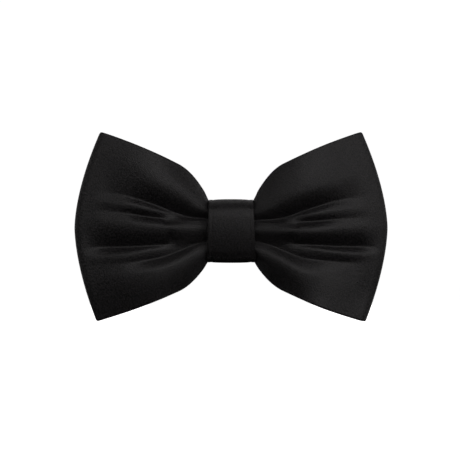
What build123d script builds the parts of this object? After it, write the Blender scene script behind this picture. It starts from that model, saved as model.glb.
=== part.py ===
"""A clip-on bow tie: a satin strip folded into two loops, pinched at the waist, wrapped by a knot
band, with a two-jaw spring clip under the band that grips the two leaves of a shirt collar.

Frame, in millimetres: X runs across the wearer, Y from the front of the bow to the wearer, and
Z up. The origin is the middle of the knot's rear face, which rests on the collar.
"""

import os
from math import cos, radians, sin, tan

from build123d import *

# The bow's front outline, from the middle of the knot
bow_width = 120.0
top_corner_rise = 38.0  # a wing's top corner above the knot's middle
bottom_corner_drop = 34.6
top_corner_inset = 9.8  # corner inboard of the wing's outermost point
bottom_corner_inset = 8.4
outermost_rise = 1.2
shoulder_reach = 11.4  # the straight edges start this far outboard of the knot's start
shoulder_top = 25.8
shoulder_bottom = 23.1
shoulder_bulge = 1.6  # how far the curve from shoulder to knot stands out of its chord
throat_top = 0.4  # the wing's edge above the knot's top corner
throat_bottom = -0.2  # and below its bottom corner

# The strip that the bow is folded from: satin, interlining, satin
satin_ply = 0.4
interlining_ply = 0.7
ply_gap = 0.05  # play between the interlining and the satin round it
hem = 1.2  # the interlining stops this far inside the strip's edges

# A wing seen from above
wing_gap = 0.25  # between the band's side edge and the wing
wing_setback = 0.5  # the wing's rear face forward of the clip's plate
crest_reach = 15.6  # the fullest place, outboard of the wing's start
crest_rise = 6.6  # and forward of the waist
crest_radius = 16.0
throat_step = 1.0  # the wing's front at the knot, behind the waist's front
throat_radius = 1.9
fold_setback = 1.7  # the outer fold's rear face forward of the wing's rear face
fold_hollow = 0.4  # space inside the outer fold
fold_radius = 1.7

# The knot band
knot_height = 24.0
knot_width_top = 16.6
knot_width_bottom = 18.3
band_satin = 0.7
band_lining = 0.5
band_hem = 1.0  # the band's satin turns in over the lining this far at each side
flap_height = 9.0  # the band's end, lapped over its start at the back
knot_front_radius = 4.6
knot_rear_radius = 2.4

# The pleated waist, and the thread wound round it
waist_depth = 6.4
waist_radius = 3.0
thread_radius = 0.25
thread_turns = 7
thread_pitch = 0.7
thread_gap = 0.05
thread_rounding = 0.9  # 1 would be a full round section

# The clip's plate
plate_thickness = 0.8
plate_length = 66.0
neck_height = 8.0
pad_height = 12.6
pad_corner = 1.0
plate_gap = 0.1  # play between the plate and the band's lining
edge_break = 0.12  # the pressed steel's edges are this far from sharp

# The hinges
pin_reach = 11.85  # hinge outboard of the knot's widest side
pin_radius = 0.75
pin_head_radius = 1.2
pin_head_thickness = 0.45
ear_wall = 1.1  # metal round the pin
ear_thickness = 0.8
ear_clearance = 0.03
jaw_bore_clearance = 0.06
side_gap = 0.3  # between an ear and the jaw

# The springs
wire_radius = 0.225
coil_clearance = 0.425  # between the pin and the inside of the coil
coil_turns = 4
coil_pitch = 0.55
lower_leg = 6.4
upper_leg = 7.0
spring_gap = 0.075

# The jaws
jaw_thickness = 0.7
tab_angle = 24.0
tab_length = 9.3
arm_angle = 8.0
nose_gap = 0.25  # nose to plate, closed
nose_setback = 0.6  # nose inboard of the plate's end
bend_radius = 1.4
nose_bend_radius = 0.8
tab_corner = 2.6
nose_corner = 0.6
cheek_wall = 0.8  # metal round the pin
cheek_tab_reach = 2.2  # the cheek's root along the tab, from the bend
cheek_arm_reach = 3.4  # and along the arm
teeth = 6
tooth_depth = 0.8
tooth_flat = 0.35

# The stitches
tack_reach = 1.8  # tacks outboard of the wing's start
tack_span = 5.0
tack_radius = 0.2
tack_bend = 0.3
tack_hole_radius = 0.45
tack_margin = 2.3  # plate's neck outboard of the tacks
tack_depth = 1.2  # how far a tack reaches into the cloth
tack_gap = 0.02  # a tack's play over the plate
stitch_count = 7
stitch_length = 1.7
stitch_radius = 0.17
stitch_lean = 0.45
stitch_entry = 0.3  # a stitch starts this far inside the lapped end's edge

# Depths, from the rear face forward
strip = 2 * (satin_ply + ply_gap) + interlining_ply
band_rear = -band_satin
plate_rear = band_rear - band_satin - band_lining - plate_gap
plate_front = plate_rear - plate_thickness
thread_room = 2 * (thread_radius + thread_gap)
waist_rear = plate_front - thread_room
waist_front = waist_rear - waist_depth
waist_middle = (waist_rear + waist_front) / 2
band_front = waist_front - thread_room - band_lining - band_satin
waist_height = knot_height - 2 * (band_satin + band_lining) - 2 * thread_room
wing_rear = plate_front - wing_setback
fold_rear = wing_rear - fold_setback
fold_front = fold_rear - 2 * strip - fold_hollow

# Places along X
wing_start = knot_width_bottom / 2 + wing_gap
wing_tip = bow_width / 2
tack_x = wing_start + tack_reach
neck_length = 2 * (tack_x + tack_margin)

# The hinge and what turns round it
coil_radius = pin_radius + coil_clearance + wire_radius
coil_reach = coil_radius + wire_radius + spring_gap  # pin's axis to the plate, and to the tab
ear_radius = pin_radius + ear_wall
cheek_radius = pin_radius + cheek_wall
pin_x = knot_width_bottom / 2 + pin_reach
pin_y = plate_rear + coil_reach
jaw_width = pad_height - 2 * ear_thickness - 2 * side_gap
tab_run = cos(radians(tab_angle))
tab_rise = sin(radians(tab_angle))
tab_way = Vector(-tab_run, tab_rise)
bend = Vector(pin_x, pin_y + (coil_reach + jaw_thickness / 2) / tab_run)
tab_end = bend + tab_way * tab_length
nose_x = plate_length / 2 - nose_setback
nose_middle = nose_x - jaw_thickness / 2
nose_top = Vector(nose_middle, bend.Y - (nose_middle - pin_x) * tan(radians(arm_angle)))
nose_tip = Vector(nose_middle, plate_rear + nose_gap)
arm_way = (nose_top - bend).normalized()

# Longer than any piece, for cuts that go right through
through = bow_width


def wing_plan(inset):
    """The right wing's closed outline seen from above, drawn in by inset."""
    with BuildSketch() as plan:
        with BuildLine():
            Polyline(
                (wing_start, wing_rear),
                (wing_start, waist_front + throat_step),
                (wing_start + crest_reach, waist_front - crest_rise),
                (wing_tip, fold_front),
                (wing_tip, fold_rear),
                close=True,
            )
        make_face()
        fillet(plan.vertices().sort_by(Axis.Y)[0], crest_radius)
        fillet(plan.vertices().group_by(Axis.X)[-1], fold_radius)
        fillet(plan.vertices().group_by(Axis.X)[0], throat_radius)
        if inset:
            offset(amount=-inset, mode=Mode.REPLACE)
    return plan.sketch


def bow_outline(inset):
    """The right wing and half the waist seen from the front, drawn in by inset at every edge."""
    top_corner = (wing_tip - top_corner_inset, top_corner_rise)
    bottom_corner = (wing_tip - bottom_corner_inset, -bottom_corner_drop)
    shoulder = wing_start + shoulder_reach
    knot_top = knot_height / 2 + throat_top
    knot_bottom = -knot_height / 2 - throat_bottom
    with BuildSketch() as outline:
        with BuildLine():
            top_edge = Line(top_corner, (shoulder, shoulder_top))
            upper_curve = SagittaArc(top_edge @ 1, (wing_start, knot_top), -shoulder_bulge)
            waist = Polyline(upper_curve @ 1, (0, knot_top), (0, knot_bottom), (wing_start, knot_bottom))
            lower_curve = SagittaArc(waist @ 1, (shoulder, -shoulder_bottom), -shoulder_bulge)
            bottom_edge = Line(lower_curve @ 1, bottom_corner)
            ThreePointArc(bottom_edge @ 1, (wing_tip, outermost_rise), top_corner)
        make_face()
        if inset:
            offset(amount=-inset, mode=Mode.REPLACE)
    return outline.sketch


def knot_profile(inset):
    """The knot's outline seen from the side, with depth to the right, drawn in by inset."""
    with BuildSketch() as profile:
        with Locations(((band_front + band_rear) / 2, 0)):
            Rectangle(band_rear - band_front, knot_height)
        fillet(profile.vertices().group_by(Axis.X)[0], knot_front_radius)
        fillet(profile.vertices().group_by(Axis.X)[-1], knot_rear_radius)
        if inset:
            offset(amount=-inset, mode=Mode.REPLACE)
    return profile.sketch


def knot_front(hem):
    """The knot band's tapered shape seen from the front, drawn in by hem at each side."""
    half_top = knot_width_top / 2 - hem
    half_bottom = knot_width_bottom / 2 - hem
    with BuildSketch() as front:
        with BuildLine():
            Polyline(
                (-half_bottom, -knot_height / 2),
                (half_bottom, -knot_height / 2),
                (half_top, knot_height / 2),
                (-half_top, knot_height / 2),
                close=True,
            )
        make_face()
    return front.sketch


def wing_layer(outer, inner, edge):
    """The part of the right wing's wall from outer to inner below its face, inside its edge."""
    with BuildPart() as layer:
        with BuildSketch():
            add(wing_plan(outer))
            add(wing_plan(inner), mode=Mode.SUBTRACT)
        extrude(amount=through, both=True)
        with BuildSketch(Plane.XZ):
            add(bow_outline(edge))
        extrude(amount=through, both=True, mode=Mode.INTERSECT)
    return layer.part


def band_layer(outer, inner, hem):
    """The part of the knot's wall from outer to inner below its face, drawn in by hem at each side."""
    with BuildPart() as layer:
        with BuildSketch(Plane.YZ):
            add(knot_profile(outer))
            add(knot_profile(inner), mode=Mode.SUBTRACT)
        extrude(amount=knot_width_bottom / 2, both=True)
        with BuildSketch(Plane.XZ):
            add(knot_front(hem))
        extrude(amount=through, both=True, mode=Mode.INTERSECT)
    return layer.part


# The bow: one strip of satin, folded into two loops that meet in the pleated waist
with BuildPart() as bow_loop:
    add(wing_layer(0, strip, 0))
    mirror(about=Plane.YZ)
    with BuildSketch(Plane.YZ):
        with Locations((waist_middle, 0)):
            RectangleRounded(waist_depth, waist_height, waist_radius)
    extrude(amount=wing_start + strip / 2, both=True)
    add(wing_layer(satin_ply, strip - satin_ply, hem - ply_gap), mode=Mode.SUBTRACT)
    mirror(
        wing_layer(satin_ply, strip - satin_ply, hem - ply_gap), about=Plane.YZ, mode=Mode.SUBTRACT
    )

# The stiff interlining, inside the satin of each wing
with BuildPart() as bow_interlining:
    add(wing_layer(satin_ply + ply_gap, strip - satin_ply - ply_gap, hem))
    mirror(about=Plane.YZ)

# The thread that holds the pleats, wound round the waist under the band
with BuildPart() as gather_thread:
    first_turn = -(thread_turns - 1) / 2 * thread_pitch
    for index in range(thread_turns):
        with BuildSketch(Plane.YZ.offset(first_turn + index * thread_pitch - thread_radius)):
            with Locations((waist_middle, 0)):
                for grow, mode in ((2 * thread_radius + thread_gap, Mode.ADD), (thread_gap, Mode.SUBTRACT)):
                    RectangleRounded(
                        waist_depth + 2 * grow, waist_height + 2 * grow, waist_radius + grow, mode=mode
                    )
        extrude(amount=2 * thread_radius)
    fillet(gather_thread.edges(), thread_rounding * thread_radius)

# The satin band round the waist, with its end lapped over the start at the back
with BuildPart() as knot_band:
    add(band_layer(0, band_satin, 0))
    with BuildSketch(Plane.XZ):
        add(knot_front(0))
        Rectangle(knot_width_bottom, flap_height, mode=Mode.INTERSECT)
    extrude(amount=band_satin)

with BuildPart() as knot_interlining:
    add(band_layer(band_satin, band_satin + band_lining, band_hem))

# The hand stitches that close the band, along the lower edge of the lapped end
with BuildPart() as knot_stitches:
    stitch_room = knot_width_top - 4 * stitch_lean
    for index in range(stitch_count):
        x = stitch_room * (index / (stitch_count - 1) - 0.5) - stitch_lean / 2
        start = Vector(x, band_rear / 2, -flap_height / 2 + stitch_entry)
        end = Vector(x + stitch_lean, band_rear - stitch_radius / 2, -flap_height / 2 - stitch_length)
        with BuildSketch(Plane(origin=start, z_dir=end - start)):
            Circle(stitch_radius)
        extrude(amount=(end - start).length)

# The clip's plate: a flat strip with two pairs of ears bent to the rear
with BuildPart() as clip_plate:
    pad_length = (plate_length - neck_length) / 2
    pad_middle = (neck_length + pad_length) / 2
    with BuildSketch(Plane.XZ.offset(-plate_rear)) as plate_face:
        Rectangle(plate_length, neck_height)
        with Locations((pad_middle, 0), (-pad_middle, 0)):
            Rectangle(pad_length, pad_height)
        fillet(plate_face.vertices(), pad_corner)
        with GridLocations(2 * tack_x, tack_span, 2, 2):
            Circle(tack_hole_radius, mode=Mode.SUBTRACT)
    extrude(amount=plate_thickness)
    rims = clip_plate.faces().filter_by(Axis.Y)
    chamfer(rims.edges(), edge_break)
    for height in (-pad_height / 2, pad_height / 2 - ear_thickness):
        with BuildSketch(Plane.XY.offset(height)):
            with Locations((pin_x, pin_y), (-pin_x, pin_y)):
                Circle(ear_radius)
            with Locations((pin_x, (pin_y + plate_front) / 2), (-pin_x, (pin_y + plate_front) / 2)):
                Rectangle(2 * ear_radius, pin_y - plate_front)
            with Locations((pin_x, pin_y), (-pin_x, pin_y)):
                Circle(pin_radius + ear_clearance, mode=Mode.SUBTRACT)
        extrude(amount=ear_thickness)

# The right jaw: a bent lever with a thumb tab inboard and a toothed nose outboard
with BuildPart() as right_jaw:
    with BuildSketch():
        with BuildLine():
            FilletPolyline(tab_end, bend, nose_top, nose_tip, radius=[bend_radius, nose_bend_radius])
        trace(line_width=jaw_thickness)
    extrude(amount=jaw_width / 2, both=True)
    with BuildSketch(Plane.XZ) as jaw_front:
        tab_side = tab_end.X - tab_rise * jaw_thickness / 2
        with Locations(((tab_side + nose_x) / 2, 0)):
            Rectangle(nose_x - tab_side, jaw_width)
        fillet(jaw_front.vertices().group_by(Axis.X)[0], tab_corner)
        fillet(jaw_front.vertices().group_by(Axis.X)[-1], nose_corner)
    extrude(amount=through, both=True, mode=Mode.INTERSECT)
    for height in (-jaw_width / 2, jaw_width / 2 - jaw_thickness):
        with BuildSketch(Plane.XY.offset(height)):
            with BuildLine():
                Polyline(
                    bend + tab_way * cheek_tab_reach,
                    bend,
                    bend + arm_way * cheek_arm_reach,
                    (pin_x + cheek_radius, pin_y),
                    (pin_x - cheek_radius, pin_y),
                    close=True,
                )
            make_face()
            with Locations((pin_x, pin_y)):
                Circle(cheek_radius)
                Circle(pin_radius + jaw_bore_clearance, mode=Mode.SUBTRACT)
        extrude(amount=jaw_thickness)
    tooth_pitch = jaw_width / teeth
    half_gap = (tooth_pitch - tooth_flat) / 2
    with BuildSketch(Plane.YZ.offset(nose_middle)):
        with GridLocations(0, tooth_pitch, 1, teeth - 1):
            with Locations((nose_tip.Y, 0)):
                Polygon((-half_gap, -2 * half_gap), (tooth_depth, 0), (-half_gap, 2 * half_gap), align=None)
    extrude(amount=jaw_thickness, both=True, mode=Mode.SUBTRACT)

with BuildPart() as left_jaw:
    mirror(right_jaw.part, about=Plane.YZ)

# The hinge pins, headed at both ends outside the ears
with BuildPart() as right_pin:
    with Locations((pin_x, pin_y, 0)):
        Cylinder(pin_radius, pad_height)
    head_height = (pad_height + pin_head_thickness) / 2
    with Locations((pin_x, pin_y, head_height), (pin_x, pin_y, -head_height)):
        Cylinder(pin_head_radius, pin_head_thickness)
    ends = right_pin.faces().sort_by(Axis.Z)
    fillet([ends[0].edges()[0], ends[-1].edges()[0]], pin_head_thickness / 2)

with BuildPart() as left_pin:
    mirror(right_pin.part, about=Plane.YZ)

# The torsion springs, each with one leg on the plate and one under the thumb tab
part_turn = (180 - tab_angle) / 360
coil_height = coil_pitch * (coil_turns + part_turn)
coil_foot = Location((pin_x, pin_y, -coil_height / 2), (0, 0, -90))
coil = coil_foot * Helix(pitch=coil_pitch, height=coil_height, radius=coil_radius)
coil_start = coil @ 0
coil_end = coil @ 1

with BuildPart() as right_spring:
    with BuildSketch(Plane(origin=coil_start, z_dir=coil % 0)):
        Circle(wire_radius)
    sweep(path=coil)
    with Locations(coil_start, coil_end):
        Sphere(wire_radius)
    for foot, way, length in ((coil_start, Vector(-1, 0), lower_leg), (coil_end, tab_way, upper_leg)):
        with BuildSketch(Plane(origin=foot, z_dir=way)):
            Circle(wire_radius)
        extrude(amount=length)

with BuildPart() as left_spring:
    mirror(right_spring.part, about=Plane.YZ)

# The thread tacks that sew the plate to the back of the bow
with BuildPart() as clip_tacks:
    tack_top = plate_rear + tack_radius + tack_gap
    tack_end = wing_rear - tack_depth
    for x in (-tack_x, tack_x):
        with BuildLine() as tack:
            FilletPolyline(
                (x, tack_end, -tack_span / 2),
                (x, tack_top, -tack_span / 2),
                (x, tack_top, tack_span / 2),
                (x, tack_end, tack_span / 2),
                radius=tack_bend,
            )
        with BuildSketch(Plane(origin=tack.line @ 0, z_dir=(0, 1, 0))):
            Circle(tack_radius)
        sweep(path=tack.line)

pieces = {
    "bow_loop": bow_loop,
    "bow_interlining": bow_interlining,
    "gather_thread": gather_thread,
    "knot_band": knot_band,
    "knot_interlining": knot_interlining,
    "knot_stitches": knot_stitches,
    "clip_plate": clip_plate,
    "clip_tacks": clip_tacks,
    "left_jaw": left_jaw,
    "right_jaw": right_jaw,
    "left_hinge_pin": left_pin,
    "right_hinge_pin": right_pin,
    "left_spring": left_spring,
    "right_spring": right_spring,
}
os.makedirs("parts", exist_ok=True)
for name, piece in pieces.items():
    piece.part.label = name
    export_step(piece.part, f"parts/{name}.step")
    print(name, len(piece.part.solids()), "solids", round(piece.part.volume, 2), "mm3")
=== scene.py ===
# %% [markdown]
# # A black satin bow tie
#
# The real bow is one strip of satin, folded into a loop on each side, gathered at the waist with
# thread, and wrapped by a narrow band. A sprung metal clip is sewn behind it. The metal parts and
# the threads come ready made in the frame. The cloth is made here, in the places where the frame
# says that the cloth is.

import bmesh
import bpy
import numpy as np
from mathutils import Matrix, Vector


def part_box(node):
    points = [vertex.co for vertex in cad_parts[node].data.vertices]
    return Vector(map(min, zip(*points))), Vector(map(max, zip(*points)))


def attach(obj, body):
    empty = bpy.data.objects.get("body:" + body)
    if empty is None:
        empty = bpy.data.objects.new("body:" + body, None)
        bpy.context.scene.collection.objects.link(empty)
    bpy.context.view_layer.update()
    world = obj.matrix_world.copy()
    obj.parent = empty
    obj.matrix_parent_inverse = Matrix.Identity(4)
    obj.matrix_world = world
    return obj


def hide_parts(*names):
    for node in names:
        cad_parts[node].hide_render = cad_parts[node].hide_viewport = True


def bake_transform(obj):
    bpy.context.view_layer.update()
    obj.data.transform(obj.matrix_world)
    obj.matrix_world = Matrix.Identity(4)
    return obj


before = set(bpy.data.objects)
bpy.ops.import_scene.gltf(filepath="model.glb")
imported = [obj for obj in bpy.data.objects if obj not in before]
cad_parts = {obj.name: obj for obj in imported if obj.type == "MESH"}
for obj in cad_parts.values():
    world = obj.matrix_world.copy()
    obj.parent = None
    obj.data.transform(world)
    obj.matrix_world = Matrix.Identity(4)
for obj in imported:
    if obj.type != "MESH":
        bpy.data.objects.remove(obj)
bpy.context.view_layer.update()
MM = 0.001

# %% [markdown]
# ## The sizes that the cloth follows
#
# Every size starts from the frame's own boxes, so the cloth lands on the parts it belongs to.
# Lengths are in millimetres while a shape is being worked out, and become metres when its mesh is
# made. Depth is counted forward from the wearer's collar, so it is minus Y.

# %% Sizes
bow_low, bow_high = (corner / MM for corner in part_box("bow_loop"))
knot_low, knot_high = (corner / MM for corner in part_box("knot_band"))
plate_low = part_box("clip_plate")[0] / MM
thread_low, thread_high = (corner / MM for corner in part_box("gather_thread"))

SOFTENED_AWAY = 0.7  # evening out the outer fold takes this off again
WOUND_THREAD = 0.7  # the wound thread stands this far off the waist
WING_REACH = bow_high.x + SOFTENED_AWAY
WING_TOP, WING_BOTTOM = bow_high.z, bow_low.z
KNOT_SIDE = knot_high.x
BOW_FRONT = -bow_low.y
PLATE_FRONT = -plate_low.y
WAIST_TOP = thread_high.z - WOUND_THREAD
WAIST_FRONT, WAIST_REAR = -thread_low.y - WOUND_THREAD, -thread_high.y + WOUND_THREAD

STRIP = 1.15  # satin, interlining and satin, pressed flat
SATIN_PLY = 0.35  # the interlining lies this deep, from either side
print(f"wing {WING_REACH:.1f} mm, top {WING_TOP:.1f}, bottom {WING_BOTTOM:.1f}, front {BOW_FRONT:.1f}")

# %% [markdown]
# ## The wing's outline
#
# Laid flat the strip is a plain ribbon. Once it is gathered, its edges run straight from the outer
# corners to a shoulder, and curve down from there into the knot. Each edge is a straight line, bowed
# a little, less a dip that starts at the shoulder. The outer fold is a soft V: a power a little
# under two draws that better than an arc.

# %% Outline of a wing
TOP_CORNER_IN, BOTTOM_CORNER_IN = 9.8, 8.4  # how far the corners lie in from the wing's full reach
TOP_CORNER, BOTTOM_CORNER = WING_REACH - TOP_CORNER_IN, WING_REACH - BOTTOM_CORNER_IN
FOLD_PEAK, FOLD_POWER = 1.2, 1.65  # height of the V's point, and how round its sides are
SHOULDER = 20.6
SHOULDER_TOP, SHOULDER_BOTTOM = 25.8, -23.1
DIP_TOP, DIP_BOTTOM = 7.9, 6.5  # how far the edge drops from the shoulder to the knot
BOWED = 0.55  # the straight edges stand this far out at their middle
LET_GO, LET_GO_OVER = 1.3, 1.6  # the edge leaves the waist this far inside the band, over this length
TIP_STEPS = 40  # the error about halves in each step


def smooth(t):
    """0 below 0, 1 above 1, and a soft step between."""
    t = np.clip(t, 0, 1)
    return t * t * (3 - 2 * t)


def edge_height(x, corner_x, corner_z, shoulder_z, dip):
    """Height of one long edge of the wing at x millimetres from the middle."""
    share = (x - SHOULDER) / (corner_x - SHOULDER)
    line = shoulder_z + (corner_z - shoulder_z) * share
    line = line + np.sign(corner_z) * BOWED * np.clip(4 * share * (1 - share), 0, 1)
    drop = np.clip(1 - (x - KNOT_SIDE) / (SHOULDER - KNOT_SIDE), 0, 1) ** 2
    open_edge = line - np.sign(corner_z) * dip * drop
    waist = np.sign(corner_z) * WAIST_TOP
    return waist + (open_edge - waist) * smooth((x - KNOT_SIDE + LET_GO) / LET_GO_OVER)


def wing_height(x, v):
    """Height of the thread that lies v of the way up the strip, 0 at its bottom edge and 1 at its top."""
    top = edge_height(x, TOP_CORNER, WING_TOP, SHOULDER_TOP, DIP_TOP)
    bottom = edge_height(x, BOTTOM_CORNER, WING_BOTTOM, SHOULDER_BOTTOM, DIP_BOTTOM)
    return bottom + (top - bottom) * v


def fold_reach(z):
    """How far out the outer fold is at height z."""
    above = np.clip(z - FOLD_PEAK, 0, None) / (WING_TOP - FOLD_PEAK)
    below = np.clip(FOLD_PEAK - z, 0, None) / (FOLD_PEAK - WING_BOTTOM)
    up = (WING_REACH - TOP_CORNER) * above ** FOLD_POWER
    down = (WING_REACH - BOTTOM_CORNER) * below ** FOLD_POWER
    return WING_REACH - up - down


def tip_of(v):
    """Where the thread at v meets the outer fold: both curves are followed until they agree."""
    x = np.full_like(v, WING_REACH)
    for _ in range(TIP_STEPS):
        x = 0.5 * (x + fold_reach(wing_height(x, v)))
    return x


print("corner heights", wing_height(TOP_CORNER, 1.0).round(1), wing_height(BOTTOM_CORNER, 0.0).round(1))

# %% [markdown]
# ## The folds
#
# Gathering seventy millimetres of ribbon into twenty makes it stand in ridges and valleys, which
# fan out from the knot and die away towards the outer fold. Each line below is one crest or one
# valley floor, followed outwards from the knot: its height at each station, and how far it lies
# below the wing's fullest surface there. The long slope under each crest faces down and stays
# dark, and the short one under each floor faces up. Between two lines the depth is a cubic. It
# levels out at a crest and meets a floor at a crease, as cloth does where it is pinched, and no
# ripple appears that the tables don't name.

# %% Fold lines
STATIONS = np.array([9.2, 14.0, 20.0, 30.0, 43.0, 54.0])  # millimetres from the middle of the knot
EDGE = None  # the strip's own edge, at whatever height the outline has
EDGE_STEEPER = 1.4  # the cloth rolls back more and more towards its edges
CREASE_FROM = 0.3  # a valley side flatter than this eases the crease away
CREASE = ((9.0, 30.0, 45.0), (1.9, 1.8, 1.7))  # a floor is sharpest by the knot: places, and steepness
FOLDS_FADE = (48.0, 60.0)  # no fold reaches the outer fold
BLEND = np.hanning(19)[1:-1] / np.hanning(19).sum()  # weights of neighbouring columns
# from the bottom up: heights at the stations, then falls below the fullest surface
LEFT_FRONT = [
    (EDGE, (2.6, 4.2, 4.0, 2.4, 1.8, 1.8)),
    ((-6.6, -9.4, -12.0, -15.5, -18.0, -18.5), (0.2, 0.3, 0.2, 0.1, 0.0, 0.0)),
    ((-4.0, -5.1, -7.6, -10.8, -12.6, -13.5), (1.8, 2.5, 3.5, 3.2, 0.7, 0.1)),
    ((-3.4, -4.3, -6.2, -7.2, -10.0, -11.0), (1.5, 2.1, 3.1, 2.3, 0.4, 0.0)),
    ((-2.8, -3.4, -4.6, -5.6, -6.2, -6.4), (1.2, 1.6, 2.5, 3.6, 3.3, 2.2)),
    ((0.9, 1.1, 1.3, 2.0, 3.0, 4.3), (0.0, 0.2, 0.2, 0.2, 0.1, 0.0)),
    ((4.2, 4.0, 4.2, 5.2, 7.2, 8.3), (1.2, 1.4, 2.0, 3.3, 1.2, 0.1)),
    ((4.6, 4.5, 5.8, 8.0, 10.6, 11.7), (1.5, 2.0, 3.5, 1.7, 0.4, 0.0)),
    ((5.0, 5.0, 6.4, 10.0, 14.0, 16.0), (2.0, 2.9, 4.0, 3.7, 1.7, 0.2)),
    ((7.4, 10.4, 14.6, 19.6, 27.0, 31.0), (0.2, 0.2, 0.1, 0.0, 0.0, 0.0)),
    (EDGE, (3.0, 5.0, 5.8, 2.8, 1.0, 0.3)),
]
RIGHT_FRONT = [
    (EDGE, (3.4, 5.6, 5.8, 1.8, -1.5, -1.5)),
    ((-6.6, -9.4, -11.8, -17.0, -20.5, -22.0), (0.2, 0.2, 0.2, 0.1, 0.0, 0.0)),
    ((-4.0, -5.1, -7.4, -10.8, -12.0, -12.8), (1.8, 2.5, 3.5, 3.3, 1.8, 0.2)),
    ((-3.4, -4.3, -6.0, -6.9, -8.6, -9.6), (1.5, 2.1, 3.1, 2.3, 0.8, 0.0)),
    ((-2.8, -3.4, -4.5, -5.3, -6.0, -6.2), (1.2, 1.6, 2.5, 3.6, 3.4, 2.3)),
    ((0.5, 0.4, 0.2, 0.2, 1.0, 2.0), (0.0, 0.2, 0.2, 0.2, 0.1, 0.0)),
    ((3.6, 3.3, 3.0, 3.6, 4.7, 5.4), (1.3, 1.4, 1.6, 3.2, 1.1, 0.1)),
    ((3.9, 3.8, 4.4, 6.2, 8.0, 8.8), (1.6, 2.0, 3.2, 1.8, 0.4, 0.0)),
    ((4.2, 4.2, 5.0, 8.2, 12.0, 14.0), (2.0, 2.8, 3.8, 3.9, 1.8, 0.2)),
    ((7.2, 9.0, 12.2, 16.6, 20.5, 24.0), (0.2, 0.2, 0.1, 0.0, 0.0, 0.0)),
    (EDGE, (2.0, 3.0, 3.4, 2.2, 0.6, 0.1)),
]
BACK = [
    (EDGE, (0.6, 0.9, 0.8, 0.5, 0.2, 0.0)),
    ((-7.7, -11.2, -14.2, -16.5, -19.4, -20.0), (0.0, 0.0, 0.0, 0.0, 0.0, 0.0)),
    ((-3.9, -5.4, -6.9, -8.0, -9.4, -10.0), (1.0, 1.6, 1.7, 1.0, 0.3, 0.0)),
    ((0.4, 1.2, 1.3, 1.7, 2.0, 2.0), (0.0, 0.0, 0.1, 0.0, 0.0, 0.0)),
    ((4.7, 7.4, 9.5, 11.4, 13.4, 14.0), (1.0, 1.7, 1.8, 1.1, 0.3, 0.0)),
    ((8.8, 14.0, 17.3, 20.5, 24.0, 26.0), (0.0, 0.0, 0.0, 0.0, 0.0, 0.0)),
    (EDGE, (0.6, 0.9, 0.7, 0.4, 0.2, 0.0)),
]


def level_curve(knots, values, at, crease=0.0):
    """A curve through the knots that never overshoots. It levels out at each low value, and at each
    high one too unless crease says how much steeper than its straight run it gets there."""
    gap = np.diff(knots)
    slope = np.diff(values) / gap
    into, out_of = crease * slope, crease * slope  # slopes at the end and at the start of each gap
    for k in range(1, len(gap)):
        before, after = slope[k - 1], slope[k]
        if before * after > 0:
            into[k - 1] = out_of[k] = 2 * before * after / (before + after)
        elif before <= 0:
            into[k - 1] = out_of[k] = 0.0
        else:
            into[k - 1] *= min(1.0, -after / CREASE_FROM)
            out_of[k] *= min(1.0, before / CREASE_FROM)
    into[-1], out_of[0] = EDGE_STEEPER * slope[-1], EDGE_STEEPER * slope[0]
    at = np.clip(at, knots[0], knots[-1])
    i = np.clip(np.searchsorted(knots, at, side="right") - 1, 0, len(gap) - 1)
    t = (at - knots[i]) / gap[i]
    return (
        (1 + 2 * t) * (1 - t) ** 2 * values[i]
        + t * (1 - t) ** 2 * gap[i] * out_of[i]
        + t * t * (3 - 2 * t) * values[i + 1]
        - t * t * (1 - t) * gap[i] * into[i]
    )


def blend_along(values):
    """Evens out a row of values over about five millimetres of the wing, so that no station shows."""
    reach = len(BLEND) // 2
    padded = np.concatenate([np.full(reach, values[0]), values, np.full(reach, values[-1])])
    return np.convolve(padded, BLEND, mode="valid")


def fold_depths(lines, x, v):
    """How far the cloth lies below the wing's fullest surface, for columns x and rows v."""
    def along_wing(values):
        return blend_along(level_curve(STATIONS, np.array(values), x))

    heights = [along_wing(at) for at, _ in lines[1:-1]]
    falls = np.stack([along_wing(fall) for _, fall in lines], 1)
    falls[:, 1:-1] *= 1 - smooth((x - FOLDS_FADE[0]) / (FOLDS_FADE[1] - FOLDS_FADE[0]))[:, None]
    depths = np.zeros((len(x), len(v)))
    for column, at in enumerate(x):
        z = wing_height(at, v)
        knots = np.array([z[0], *(height[column] for height in heights), z[-1]])
        depths[column] = level_curve(knots, falls[column], z, np.interp(at, *CREASE))
    return depths


print("lines: left", len(LEFT_FRONT), "right", len(RIGHT_FRONT), "back", len(BACK))

# %% [markdown]
# ## The strip as one closed loop
#
# Seen from above, each wing is a flat loop: the front swells forward and comes back to the outer
# fold, and the back lies nearly flat against the clip. The face that shows is worked out first.
# The strip's thickness then goes inwards from it, so that it doesn't blur the folds, and both
# edges are rounded as a pressed hem is.

# %% Shape of the strip's outer face
COLUMNS, ROWS = 150, 200
FULL_X = 31.0  # where the wing stands furthest forward
FOLD_DEPTH = 6.8  # the outer fold's place, forward of the collar
FOLD_ROUND = 1.9
FOLD_TURN = 3.2  # the last stretch of the wing, where the cloth turns back on itself
FOLD_EASE = 0.88  # the front comes back to the outer fold without quite levelling out
BACK_DEPTH = PLATE_FRONT + 0.55  # the back's face stands just off the plate
BACK_LIFTS, BACK_LIFTS_OVER = 34.0, 24.0  # from here the back comes forward to the outer fold
BACK_EASE = 4.0  # the back leaves the waist over this length
BACK_TUCK = 0.7  # the back's edges lie this far inside the front's, by the knot
WAIST_END = KNOT_SIDE - 1.0  # the cloth swells from here, just under the band's edge
WAIST_SINK, WAIST_FILL = 0.1, 0.5  # under the thread, and beside it
FILL_FROM, FILL_OVER = 3.6, 2.0
CROWDED = 0.35  # columns stand closer together towards the outer fold
SOFTENING = 3


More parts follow.
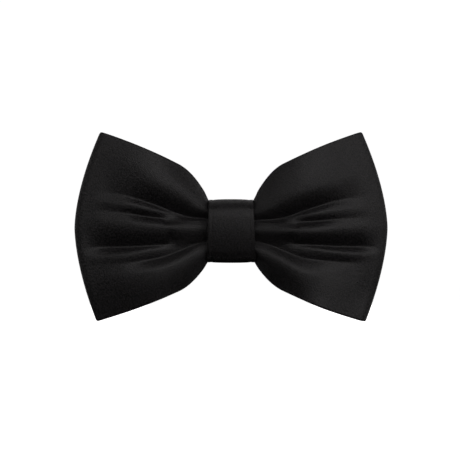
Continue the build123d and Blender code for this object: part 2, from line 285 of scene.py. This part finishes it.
def front_depth(x, tip):
    """Depth of the wing's fullest surface at the front."""
    out = (x - FULL_X) / (tip - FULL_X)
    waist = WAIST_FRONT - WAIST_SINK + WAIST_FILL * smooth((x - FILL_FROM) / FILL_OVER)
    t = np.clip((x - WAIST_END) / (FULL_X - WAIST_END), 0, 1)
    swell = waist + (BOW_FRONT - waist) * (t + t * t - t ** 3)  # sets off at an even slope, and levels out
    back_to_fold = BOW_FRONT - (BOW_FRONT - FOLD_DEPTH - FOLD_ROUND) * smooth(out * FOLD_EASE)
    return np.where(x < FULL_X, swell, back_to_fold)


def quarter(lines, front):
    """Points of half a wing, from the middle of the knot to the outer fold.
    They are columns by rows by (x, depth, z)."""
    v = np.linspace(0, 1, ROWS)
    t = np.linspace(0, 1, COLUMNS)
    along = t + CROWDED * t * (1 - t)
    x = along[:, None] * tip_of(v)[None, :]
    straight = along * WING_REACH
    inner = straight[:, None]
    folds = fold_depths(lines, straight, v)
    if front:
        face = blend_along(front_depth(straight, WING_REACH))[:, None] - folds
    else:
        face = BACK_DEPTH + (WAIST_REAR - BACK_DEPTH) * smooth((KNOT_SIDE - inner) / BACK_EASE) + folds
        lift = smooth((inner - BACK_LIFTS) / BACK_LIFTS_OVER)
        face = face + (FOLD_DEPTH - FOLD_ROUND - BACK_DEPTH) * lift
    turned = ((inner - (WING_REACH - FOLD_TURN)) / FOLD_TURN).clip(0, 1)
    rounding = np.sqrt(np.clip(1 - turned ** 2, 0, 1))
    face = FOLD_DEPTH + (face - FOLD_DEPTH) * rounding
    z = wing_height(x, v[None, :])
    if not front:
        z = z - (2 * v[None, :] - 1) * BACK_TUCK * (1 - along[:, None])
    return np.stack([x, face, z], axis=-1)


def soften(loop, passes):
    """Evens out a closed loop of columns a little, as cloth does, and keeps its two edges in their rows."""
    for _ in range(passes):
        along = np.roll(loop, 1, 0) + np.roll(loop, -1, 0)
        loop[:, 1:-1] = loop[:, 1:-1] * 0.5 + (along[:, 1:-1] + loop[:, :-2] + loop[:, 2:]) * 0.125
        loop[:, [0, -1]] = loop[:, [0, -1]] * 0.5 + along[:, [0, -1]] * 0.25
    return loop


def mirror_x(grid):
    """The same points on the other side of the knot."""
    return grid * np.array([-1.0, 1.0, 1.0])


def strip_face():
    """The whole loop: right front, right back, left back, left front, and so back to the start."""
    right_front, right_back = quarter(RIGHT_FRONT, True), quarter(BACK, False)
    left_front, left_back = mirror_x(quarter(LEFT_FRONT, True)), mirror_x(right_back)
    loop = [right_front, right_back[::-1][1:], left_back[1:], left_front[::-1][1:-1]]
    return soften(np.concatenate(loop), SOFTENING) * np.array([1.0, -1.0, 1.0])


bow_face = strip_face()
print("strip grid", bow_face.shape)
print("lowest", bow_face.min((0, 1)).round(1), "highest", bow_face.max((0, 1)).round(1))

# %% [markdown]
# ## Thickness
#
# One function turns a grid of face points into a solid strip. Its cross section runs along the
# face, round one edge, back along the lining and round the other edge. The same function makes the
# bow, its interlining and the knot band.

# %% Solid strips from face points
RIM = 5  # points round each long edge
HEM_ROWS = 4  # a lining stops this many rows short of the satin's edges


def unit(a):
    """Vectors of the same direction and length one."""
    return a / np.maximum(np.linalg.norm(a, axis=-1, keepdims=True), 1e-9)


def face_normals(grid, ring):
    """Outward normals of a grid of points. A ring's last column meets its first."""
    if ring:
        along = np.roll(grid, -1, 0) - np.roll(grid, 1, 0)
    else:
        along = np.gradient(grid, axis=0)
    return unit(np.cross(along, np.gradient(grid, axis=1)))


def solid_strip(name, grid, outer, inner, ring, ends_in=0):
    """A mesh between two depths below a face, with rounded long edges and lengths in its UV map."""
    normals = face_normals(grid, ring)
    if ends_in:
        grid = grid[:, ends_in:-ends_in]
        normals = normals[:, ends_in:-ends_in]
    half = (inner - outer) / 2
    middle = grid - normals * (outer + half)
    across = unit(np.gradient(middle, axis=1))
    turns = np.linspace(-np.pi / 2, np.pi / 2, RIM + 2)[1:-1]
    face, back = middle + normals * half, (middle - normals * half)[:, ::-1]
    far = [middle[:, -1] + half * (np.cos(a) * across[:, -1] - np.sin(a) * normals[:, -1]) for a in turns]
    near = [middle[:, 0] - half * (np.cos(a) * across[:, 0] - np.sin(a) * normals[:, 0]) for a in turns]
    section = np.concatenate([face, np.stack(far, 1), back, np.stack(near, 1)], axis=1)
    columns, rows = section.shape[:2]
    number = np.arange(columns * rows).reshape(columns, rows)
    ahead = np.roll(number, -1, 0) if ring else number[1:]
    here = number if ring else number[:-1]
    quads = np.stack([here, ahead, np.roll(ahead, -1, 1), np.roll(here, -1, 1)], -1).reshape(-1, 4)
    faces = quads.tolist()
    if not ring:
        faces += [number[0].tolist(), number[-1, ::-1].tolist()]
    mesh = bpy.data.meshes.new(name)
    mesh.from_pydata((section.reshape(-1, 3) * MM).tolist(), [], faces)
    mesh.update()
    steps_along = np.linalg.norm(np.roll(middle, -1, 0) - middle, axis=-1).mean(1)
    steps_round = np.linalg.norm(np.roll(section, -1, 1) - section, axis=-1).mean(0)
    u = np.concatenate([[0], steps_along.cumsum()])
    v = np.concatenate([[0], steps_round.cumsum()])
    i, j = np.indices(here.shape)
    place = np.stack([np.stack([u[i], v[j]], -1), np.stack([u[i + 1], v[j]], -1),
                      np.stack([u[i + 1], v[j + 1]], -1), np.stack([u[i], v[j + 1]], -1)], 2)
    flat = np.zeros((len(mesh.loops), 2))
    flat[:place.size // 2] = place.reshape(-1, 2) * MM
    mesh.uv_layers.new(name="cloth").data.foreach_set("uv", flat.ravel())
    mesh.polygons.foreach_set("use_smooth", [True] * len(mesh.polygons))
    piece = bpy.data.objects.new(name, mesh)
    bpy.context.scene.collection.objects.link(piece)
    return piece


bow_strip = solid_strip("bow_strip", bow_face, 0.0, STRIP, True)
bow_lining = solid_strip("bow_strip_interlining", bow_face, SATIN_PLY, STRIP - SATIN_PLY, True,
                         ends_in=HEM_ROWS)
print("bow strip", len(bow_strip.data.vertices), "points,", len(bow_strip.data.polygons), "faces")

# %% [markdown]
# ## The knot band
#
# The band is a narrower strip that goes once round the waist and laps over its own start at the
# back, where it is stitched. From the front it is a little wider at the bottom. It is slightly
# crowned across its width, because its two edges are turned in over the lining, and the turned
# edge leaves a faint line just inside each side.

# %% Shape of the band
BAND, BAND_LINING = 0.66, 1.12  # depths of the satin's inner face, and of the lining's
BAND_GAP = 0.03  # between the band's satin and its lining
BAND_COLUMNS, BAND_ROWS = 240, 61
TOP_HALF, BOTTOM_HALF = 8.3, KNOT_SIDE  # half the knot's width
TOP_ROUND, BOTTOM_ROUND, REAR_ROUND = 4.2, 4.8, 2.4
BELLY, BELLY_HEIGHT, BELLY_FOOT = 3.9, 5.0, -9.4  # the front swells most a little above the middle
BELLY_FROM, BELLY_OVER = 6.0, 4.0  # only the front swells, from this depth on
CROWN, CROWN_SHARE, CROWN_POWER = 0.38, 0.35, 2.6  # this share of it is rise, and the rest is drop
CROWN_FROM, CROWN_OVER = 3.0, 5.0  # the crown grows over these depths
PLUMP = 0.2  # soft cloth stands this far proud of the band's pressed size, above and below
HEM_LINE, HEM_WIDTH = 0.84, 0.045  # shares of the half width
HEM_DROP = 0.10
FLAP = 4.5  # the flap runs from about this far above the middle to this far below
WRAP = 0.7  # the flap stands this far behind the band's start


def band_path():
    """The band seen from the side, by (depth, height), from its start under the flap to its stitched end."""
    front, top = -knot_low.y, knot_high.z + PLUMP
    quarter_turn = np.radians(np.linspace(0, 90, 24))
    path = [(WRAP, FLAP - 0.6)]
    # a quarter turn in radii: how far it has left to go, and how far it has come
    to_go, gone = 1 - np.sin(quarter_turn), 1 - np.cos(quarter_turn)
    path += zip(WRAP + REAR_ROUND * gone, -top + REAR_ROUND * to_go)
    path += zip(front - BOTTOM_ROUND * to_go, -top + BOTTOM_ROUND * gone)
    path += [(front, z) for z in np.linspace(BOTTOM_ROUND - top, top - TOP_ROUND, 14)[1:-1]]
    path += zip(front - TOP_ROUND * gone, top - TOP_ROUND * to_go)
    path += zip(WRAP + REAR_ROUND * to_go, top - REAR_ROUND * gone)
    path += [(WRAP, FLAP + 1.0), (WRAP * 0.5, FLAP + 0.1), (0.0, FLAP - 0.8), (0.0, -FLAP)]
    path = np.array(path)
    reach = np.where(path[:, 1] > BELLY_HEIGHT, top - BELLY_HEIGHT, BELLY_HEIGHT - BELLY_FOOT)
    away = (path[:, 1] - BELLY_HEIGHT) / reach
    swell = BELLY * np.clip(1 - away ** 2, 0, 1)
    path[:, 0] += swell * smooth((path[:, 0] - BELLY_FROM) / BELLY_OVER)
    return path


def evenly(path, count):
    """The same path with evenly spaced points."""
    run = np.concatenate([[0], np.linalg.norm(np.diff(path, axis=0), axis=1).cumsum()])
    at = np.linspace(0, run[-1], count)
    return np.stack([np.interp(at, run, path[:, i]) for i in range(path.shape[1])], -1)


def band_face():
    """Face points of the band: columns along it, rows across it."""
    path = evenly(band_path(), BAND_COLUMNS)
    turn = np.gradient(path, axis=0)
    outward = unit(np.stack([turn[:, 1], -turn[:, 0]], -1))
    depth, height = path[:, :1], path[:, 1:]
    across = np.linspace(1, -1, BAND_ROWS)[None, :]
    share = (height - knot_low.z) / (knot_high.z - knot_low.z)
    x = across * (BOTTOM_HALF + (TOP_HALF - BOTTOM_HALF) * share)
    in_front = smooth((depth - CROWN_FROM) / CROWN_OVER)
    crown = CROWN * (CROWN_SHARE - np.abs(across) ** CROWN_POWER) * in_front
    hem = -HEM_DROP * np.exp(-(((np.abs(across) - HEM_LINE) / HEM_WIDTH) ** 2))
    rise = crown + hem
    points = np.stack([x, depth + rise * outward[:, :1], height + rise * outward[:, 1:]], -1)
    return points * np.array([1.0, -1.0, 1.0])


knot_wrap = solid_strip("knot_wrap", band_face(), 0.0, BAND, False)
knot_lining = solid_strip("knot_wrap_interlining", band_face(), BAND + BAND_GAP, BAND_LINING, False,
                          ends_in=HEM_ROWS)
print("band length", np.linalg.norm(np.diff(band_path(), axis=0), axis=1).sum().round(1), "mm")

# %% [markdown]
# ## Colours and a way to wire materials
#
# Colours are written as sRGB hex, as a colour picker shows them, and turned to the linear values
# that a shader works in. One small function adds a node, sets what is given and joins what is
# given.

# %% Helpers for materials
def colour(hex_text):
    """Linear colour with alpha from an sRGB hex value."""
    channels = [int(hex_text[i:i + 2], 16) / 255 for i in (1, 3, 5)]
    return [c / 12.92 if c <= 0.04045 else ((c + 0.055) / 1.055) ** 2.4 for c in channels] + [1.0]


def new_material(name):
    """A material with a clean Principled shader, and that shader."""
    material = bpy.data.materials.new(name)
    material.use_nodes = True
    return material, material.node_tree.nodes["Principled BSDF"]


def add(material, kind, settings=None, **inputs):
    """Adds one node. settings are its properties, and inputs are values or sockets to join."""
    node = material.node_tree.nodes.new(kind)
    for key, value in (settings or {}).items():
        setattr(node, key, value)
    for key, value in inputs.items():
        socket = node.inputs[key.replace("_", " ")]
        if isinstance(value, bpy.types.NodeSocket):
            material.node_tree.links.new(value, socket)
        else:
            socket.default_value = value
    return node


def join(material, output, socket):
    """Joins an output to a socket of the shader."""
    material.node_tree.links.new(output, socket)


print("middle grey, #808080, is", round(colour("#808080")[0], 3), "in linear light")

# %% [markdown]
# ## Black satin
#
# Satin's face is nearly all long floating threads, so it shines softly along them, and the folds
# show as broad grey lights on black. The threads are about a tenth of a millimetre apart, which is
# too fine to see from here, so the weave is drawn a little coarser. A slower unevenness stands for
# the way that pressed cloth never lies quite flat.

# %% Satin material
THREAD_MM = 0.16  # real satin has about 0.1
FLOAT_MM = 5.0  # drawn longer than the real floating threads
SLUB_MM = 0.6  # uneven yarns, a few threads wide
PUCKER_MM = 7.0  # slow unevenness of pressed cloth


def woven_satin():
    """Black satin: soft light along the threads, a fine mottle, and a little pucker."""
    material, shader = new_material("black_woven_satin")
    shader.inputs["Metallic"].default_value = 0.0
    shader.inputs["IOR"].default_value = 1.5
    shader.inputs["Sheen Weight"].default_value = 0.02
    shader.inputs["Sheen Roughness"].default_value = 0.45
    shader.inputs["Anisotropic"].default_value = 0.35
    cloth = add(material, "ShaderNodeUVMap", {"uv_map": "cloth"})
    tangent = add(material, "ShaderNodeTangent", {"direction_type": "UV_MAP", "uv_map": "cloth"})
    join(material, tangent.outputs["Tangent"], shader.inputs["Tangent"])
    threads = add(material, "ShaderNodeMapping", Vector=cloth.outputs["UV"],
                  Scale=(1 / (FLOAT_MM * MM), 1 / (THREAD_MM * MM), 1))
    grain = add(material, "ShaderNodeTexNoise", {"noise_dimensions": "2D"}, Vector=threads.outputs["Vector"],
                Scale=1.0, Detail=2.0, Roughness=0.6)
    slub = add(material, "ShaderNodeTexNoise", Vector=cloth.outputs["UV"],
               Scale=1 / (SLUB_MM * MM), Detail=4.0, Roughness=0.65)
    pucker = add(material, "ShaderNodeTexNoise", Vector=cloth.outputs["UV"],
                 Scale=1 / (PUCKER_MM * MM), Detail=2.0)
    tone = add(material, "ShaderNodeValToRGB", Fac=slub.outputs["Fac"])
    tone.color_ramp.elements[0].position, tone.color_ramp.elements[1].position = 0.44, 0.57
    tone.color_ramp.elements[0].color = colour("#020202")
    tone.color_ramp.elements[1].color = colour("#242223")
    join(material, tone.outputs["Color"], shader.inputs["Base Color"])
    gloss = add(material, "ShaderNodeMapRange", Value=slub.outputs["Fac"], From_Min=0.3, From_Max=0.7,
                To_Min=0.38, To_Max=0.68)
    join(material, gloss.outputs["Result"], shader.inputs["Roughness"])
    deep = add(material, "ShaderNodeBump", Height=pucker.outputs["Fac"], Strength=0.25, Distance=0.3 * MM)
    rough = add(material, "ShaderNodeBump", Height=slub.outputs["Fac"], Strength=1.0, Distance=0.22 * MM,
                Normal=deep.outputs["Normal"])
    fine = add(material, "ShaderNodeBump", Height=grain.outputs["Fac"], Strength=0.5, Distance=0.03 * MM,
               Normal=rough.outputs["Normal"])
    join(material, fine.outputs["Normal"], shader.inputs["Normal"])
    return material


satin = woven_satin()
for piece in (bow_strip, knot_wrap):
    piece.data.materials.append(satin)
print("satin on", bow_strip.name, "and", knot_wrap.name)

# %% [markdown]
# ## Interlining, thread and metal
#
# Interlining is an undyed, brushed cotton that never shows. The sewing thread is black polyester,
# twisted from fine plies. The clip is pressed from steel and bright nickel plated, its springs are
# drawn wire, and its pins are turned, so their grain runs round them.

# %% The other materials
NAP_MM = 0.6
PLY_MM = 0.25
ONE_WAVE = 0.05 * 6.28  # the scale at which the wave texture repeats once in each unit
CLOUD_MM = 5.0  # handling leaves plated metal a little cloudy


def brushed_interlining():
    """Undyed cotton with a raised nap, quite matt."""
    material, shader = new_material("undyed_brushed_interlining")
    shader.inputs["Roughness"].default_value = 0.9
    place = add(material, "ShaderNodeTexCoord")
    nap = add(material, "ShaderNodeTexNoise", Vector=place.outputs["Object"],
              Scale=1 / (NAP_MM * MM), Detail=5.0)
    tone = add(material, "ShaderNodeValToRGB", Fac=nap.outputs["Fac"])
    tone.color_ramp.elements[0].color = colour("#c9c3b4")
    tone.color_ramp.elements[1].color = colour("#e6e1d4")
    join(material, tone.outputs["Color"], shader.inputs["Base Color"])
    nap_bump = add(material, "ShaderNodeBump", Height=nap.outputs["Fac"], Strength=0.6, Distance=0.1 * MM)
    join(material, nap_bump.outputs["Normal"], shader.inputs["Normal"])
    return material


def twisted_thread():
    """Black polyester thread: a slanting line for each ply, and a slight shine."""
    material, shader = new_material("black_twisted_polyester_thread")
    shader.inputs["Roughness"].default_value = 0.55
    shader.inputs["Sheen Weight"].default_value = 0.2
    place = add(material, "ShaderNodeTexCoord")
    turned = add(material, "ShaderNodeMapping", Vector=place.outputs["Object"], Rotation=(0.6, 0.5, 0.4))
    ply = add(material, "ShaderNodeTexWave", {"wave_type": "BANDS"}, Vector=turned.outputs["Vector"],
              Scale=ONE_WAVE / (PLY_MM * MM), Distortion=0.6)
    tone = add(material, "ShaderNodeValToRGB", Fac=ply.outputs["Fac"])
    tone.color_ramp.elements[0].color = colour("#0a0a0b")
    tone.color_ramp.elements[1].color = colour("#1d1d1f")
    join(material, tone.outputs["Color"], shader.inputs["Base Color"])
    lay = add(material, "ShaderNodeBump", Height=ply.outputs["Fac"], Strength=0.8, Distance=0.04 * MM)
    join(material, lay.outputs["Normal"], shader.inputs["Normal"])
    return material


def metal(name, light, dark, roughness, grain_mm, stretch):
    """A metal with a fine grain. light and dark are hex colours, and stretch below 1 draws the grain
    out along that axis."""
    material, shader = new_material(name)
    shader.inputs["Metallic"].default_value = 1.0
    place = add(material, "ShaderNodeTexCoord")
    drawn = add(material, "ShaderNodeMapping", Vector=place.outputs["Object"], Scale=stretch)
    grain = add(material, "ShaderNodeTexNoise", Vector=drawn.outputs["Vector"], Scale=1 / (grain_mm * MM),
                Detail=6.0, Roughness=0.6)
    cloud = add(material, "ShaderNodeTexNoise", Vector=place.outputs["Object"],
                Scale=1 / (CLOUD_MM * MM), Detail=3.0)
    tone = add(material, "ShaderNodeValToRGB", Fac=cloud.outputs["Fac"])
    tone.color_ramp.elements[0].position, tone.color_ramp.elements[1].position = 0.3, 0.75
    tone.color_ramp.elements[0].color = colour(dark)
    tone.color_ramp.elements[1].color = colour(light)
    join(material, tone.outputs["Color"], shader.inputs["Base Color"])
    worn = add(material, "ShaderNodeMapRange", Value=grain.outputs["Fac"], From_Min=0.3, From_Max=0.7,
               To_Min=roughness * 0.85, To_Max=roughness * 1.2)
    join(material, worn.outputs["Result"], shader.inputs["Roughness"])
    scratch = add(material, "ShaderNodeBump", Height=grain.outputs["Fac"], Strength=0.06, Distance=0.004 * MM)
    join(material, scratch.outputs["Normal"], shader.inputs["Normal"])
    return material


interlining = brushed_interlining()
thread = twisted_thread()
nickel = metal("bright_nickel_plated_pressed_steel", "#d3d2ce", "#bebdb9", 0.24, 0.35, (0.12, 1.0, 1.0))
turned_steel = metal("turned_steel_pin", "#bfbfc0", "#9d9da0", 0.28, 0.2, (1.0, 1.0, 4.0))
spring_wire = metal("drawn_spring_wire", "#a9aaad", "#85868a", 0.30, 0.2, (1.0, 1.0, 1.0))
for piece in (bow_lining, knot_lining):
    piece.data.materials.append(interlining)

finishes = {
    "gather_thread": thread, "knot_stitches": thread, "clip_tacks": thread,
    "clip_plate": nickel, "left_jaw": nickel, "right_jaw": nickel,
    "left_hinge_pin": turned_steel, "right_hinge_pin": turned_steel,
    "left_spring": spring_wire, "right_spring": spring_wire,
}
for node, finish in finishes.items():
    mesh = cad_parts[node].data
    mesh.materials.clear()
    mesh.materials.append(finish)
print(len(finishes), "ready-made pieces given a finish")

# %% [markdown]
# ## Copies of the springs
#
# A torsion spring winds up as its jaw is pressed open. One leg stays on the plate, the other
# follows the thumb tab, and the coil between them turns part of the way. A ready-made piece can
# ride on one body only, so its leg would come through the tab. It could be drawn again as a tube
# along a helix. Here each wire is copied as it is, which keeps the true wire, and the ready-made
# spring is hidden. The copy doesn't wind.


def winding_spring(side):
    """A copy of one spring's wire, fixed in place, with the ready-made spring hidden."""
    wire = bpy.data.objects.new(f"{side}_torsion_spring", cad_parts[f"{side}_spring"].data.copy())
    bpy.context.scene.collection.objects.link(wire)
    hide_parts(f"{side}_spring")
    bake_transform(wire)
    return wire


springs = [winding_spring(side) for side in ("left", "right")]
print("springs that wind:", [spring.name for spring in springs])

# %% [markdown]
# ## What rides on what
#
# Everything of cloth belongs to the body called bow. The jaws turn on the pins. The strip was cut as
# a ribbon.

for piece, node, slot in (
    (bow_strip, "bow_loop", "satin"),
    (bow_lining, "bow_interlining", "interlining"),
    (knot_wrap, "knot_band", "satin"),
    (knot_lining, "knot_interlining", "interlining"),
):
    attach(piece, "bow")
    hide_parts(node)
print("four sheets of cloth on the body called bow")

# %% [markdown]
# ## Studio
#
# The bow hangs in a round white tent, whose paper glows by itself, so no side of it throws a
# shadow. Only the camera sees the tent. Black satin shows little but what it reflects, and in a
# white room it would turn grey all over.

# %% Floor and tent
FLOOR = -0.085  # metres, as is everything in the studio
TENT_RADIUS, TENT_HEIGHT, TENT_SIDES = 2.0, 2.6, 64
FLAT_FLOOR, STRAIGHT_WALL = 0.75, 0.7  # shares of the radius and of the height


def studio_tent():
    """One pale sheet of revolution: floor, curved foot, wall and roof."""
    foot = 1 - FLAT_FLOOR
    profile = [(0.0, 0.0), (TENT_RADIUS * FLAT_FLOOR, 0.0)]
    for angle in np.radians(np.linspace(10, 90, 9)):
        out, up = FLAT_FLOOR + foot * np.sin(angle), foot * (1 - np.cos(angle))
        profile.append((TENT_RADIUS * out, TENT_RADIUS * up))
    profile += [(TENT_RADIUS, TENT_HEIGHT * STRAIGHT_WALL), (TENT_RADIUS * STRAIGHT_WALL, TENT_HEIGHT)]
    profile.append((0.0, TENT_HEIGHT))
    shape = bmesh.new()
    line = [shape.verts.new((r, 0.0, FLOOR + z)) for r, z in profile]
    edges = [shape.edges.new(pair) for pair in zip(line, line[1:])]
    bmesh.ops.spin(shape, geom=line + edges, axis=(0, 0, 1), cent=(0, 0, 0),
                   angle=2 * np.pi, steps=TENT_SIDES)
    bmesh.ops.remove_doubles(shape, verts=shape.verts, dist=1e-4)
    mesh = bpy.data.meshes.new("studio_tent")
    shape.to_mesh(mesh)
    shape.free()
    tent = bpy.data.objects.new("studio_tent", mesh)
    bpy.context.scene.collection.objects.link(tent)
    material, shader = new_material("glowing_white_paper")
    shader.inputs["Base Color"].default_value = colour("#f4f4f4")
    shader.inputs["Roughness"].default_value = 0.95
    shader.inputs["Emission Color"].default_value = colour("#ffffff")
    shader.inputs["Emission Strength"].default_value = 1.0
    mesh.materials.append(material)
    tent.visible_glossy = tent.visible_diffuse = tent.visible_shadow = False


studio_tent()
print("tent", TENT_RADIUS, "m in radius")

# %% [markdown]
# ## Lights
#
# One broad soft box in front and above draws the folds: it catches every slope that faces up, and
# leaves the slopes that face down dark. Weaker ones fill the sides. Three large panels stand
# behind, and a fourth low down lights the clip alone, because plated metal is a mirror that needs
# something bright to show.

# %% Lights
LIGHTS = {
    # name: place, width and height in metres, watts
    "key_above_front": ((0.10, -0.70, 0.38), 1.0, 0.62, 2.7),
    "fill_left_front": ((-0.75, -0.65, 0.20), 0.4, 0.6, 0.28),
    "fill_right_front": ((0.75, -0.65, 0.20), 0.5, 0.6, 0.9),
    "panel_back": ((0.0, 1.0, 0.35), 1.6, 1.2, 4.5),
    "panel_left_back": ((-0.9, 0.55, 0.10), 0.6, 0.9, 1.4),
    "panel_right_back": ((0.9, 0.55, 0.10), 0.6, 0.9, 1.4),
    "panel_low_back": ((0.0, 0.9, -0.55), 1.6, 0.8, 2.6),
}
LIGHT_COLOUR = colour("#fffcfd")
AIR_GLOW = 0.001


def soft_box(name, place, width, height, watts):
    """A rectangular soft box that faces the bow."""
    data = bpy.data.lights.new(name, "AREA")
    data.shape = "RECTANGLE"
    data.size, data.size_y = width, height
    data.energy = watts
    data.color = LIGHT_COLOUR[:3]
    lamp = bpy.data.objects.new(name, data)
    lamp.location = place
    lamp.visible_camera = False
    lamp.rotation_mode = "QUATERNION"
    lamp.rotation_quaternion = (-Vector(place)).to_track_quat("-Z", "Y")
    bpy.context.scene.collection.objects.link(lamp)


for name, (place, width, height, watts) in LIGHTS.items():
    soft_box(name, place, width, height, watts)

# the low panel is what the plate and jaws mirror when they are seen from above
clip_pieces = bpy.data.collections.new("clip_pieces")
for node in ("clip_plate", "left_jaw", "right_jaw", "left_hinge_pin", "right_hinge_pin"):
    clip_pieces.objects.link(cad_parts[node])
bpy.data.objects["panel_low_back"].light_linking.receiver_collection = clip_pieces

world = bpy.data.worlds.new("studio_air")
bpy.context.scene.world = world
world.use_nodes = True
world.node_tree.nodes["Background"].inputs["Color"].default_value = colour("#ffffff")
world.node_tree.nodes["Background"].inputs["Strength"].default_value = AIR_GLOW
bpy.context.scene.view_settings.view_transform = "Standard"
bpy.context.scene.view_settings.look = "None"
print(len(LIGHTS), "soft boxes")

# %% [markdown]
# ## Camera
#
# A long lens straight in front, level with the knot, so the wings aren't drawn larger where they
# swell forward.

# %% Camera
VIEW_WIDTH, LENS, SENSOR = 0.1769, 120.0, 36.0  # metres across at the bow, then millimetres
AIM = Vector((-0.0004, -0.010, 0.0004))  # the middle of the view, inside the knot
camera_data = bpy.data.cameras.new("camera")
camera_data.lens, camera_data.sensor_width = LENS, SENSOR
camera_data.dof.use_dof = False
camera = bpy.data.objects.new("camera", camera_data)
camera_distance = VIEW_WIDTH * LENS / SENSOR
camera.location = AIM - Vector((0, camera_distance, 0))
camera.rotation_mode = "QUATERNION"
camera.rotation_quaternion = Vector((0, 1, 0)).to_track_quat("-Z", "Y")
bpy.context.scene.collection.objects.link(camera)
bpy.context.scene.camera = camera
print("camera", round(camera_distance, 3), "m from the bow")
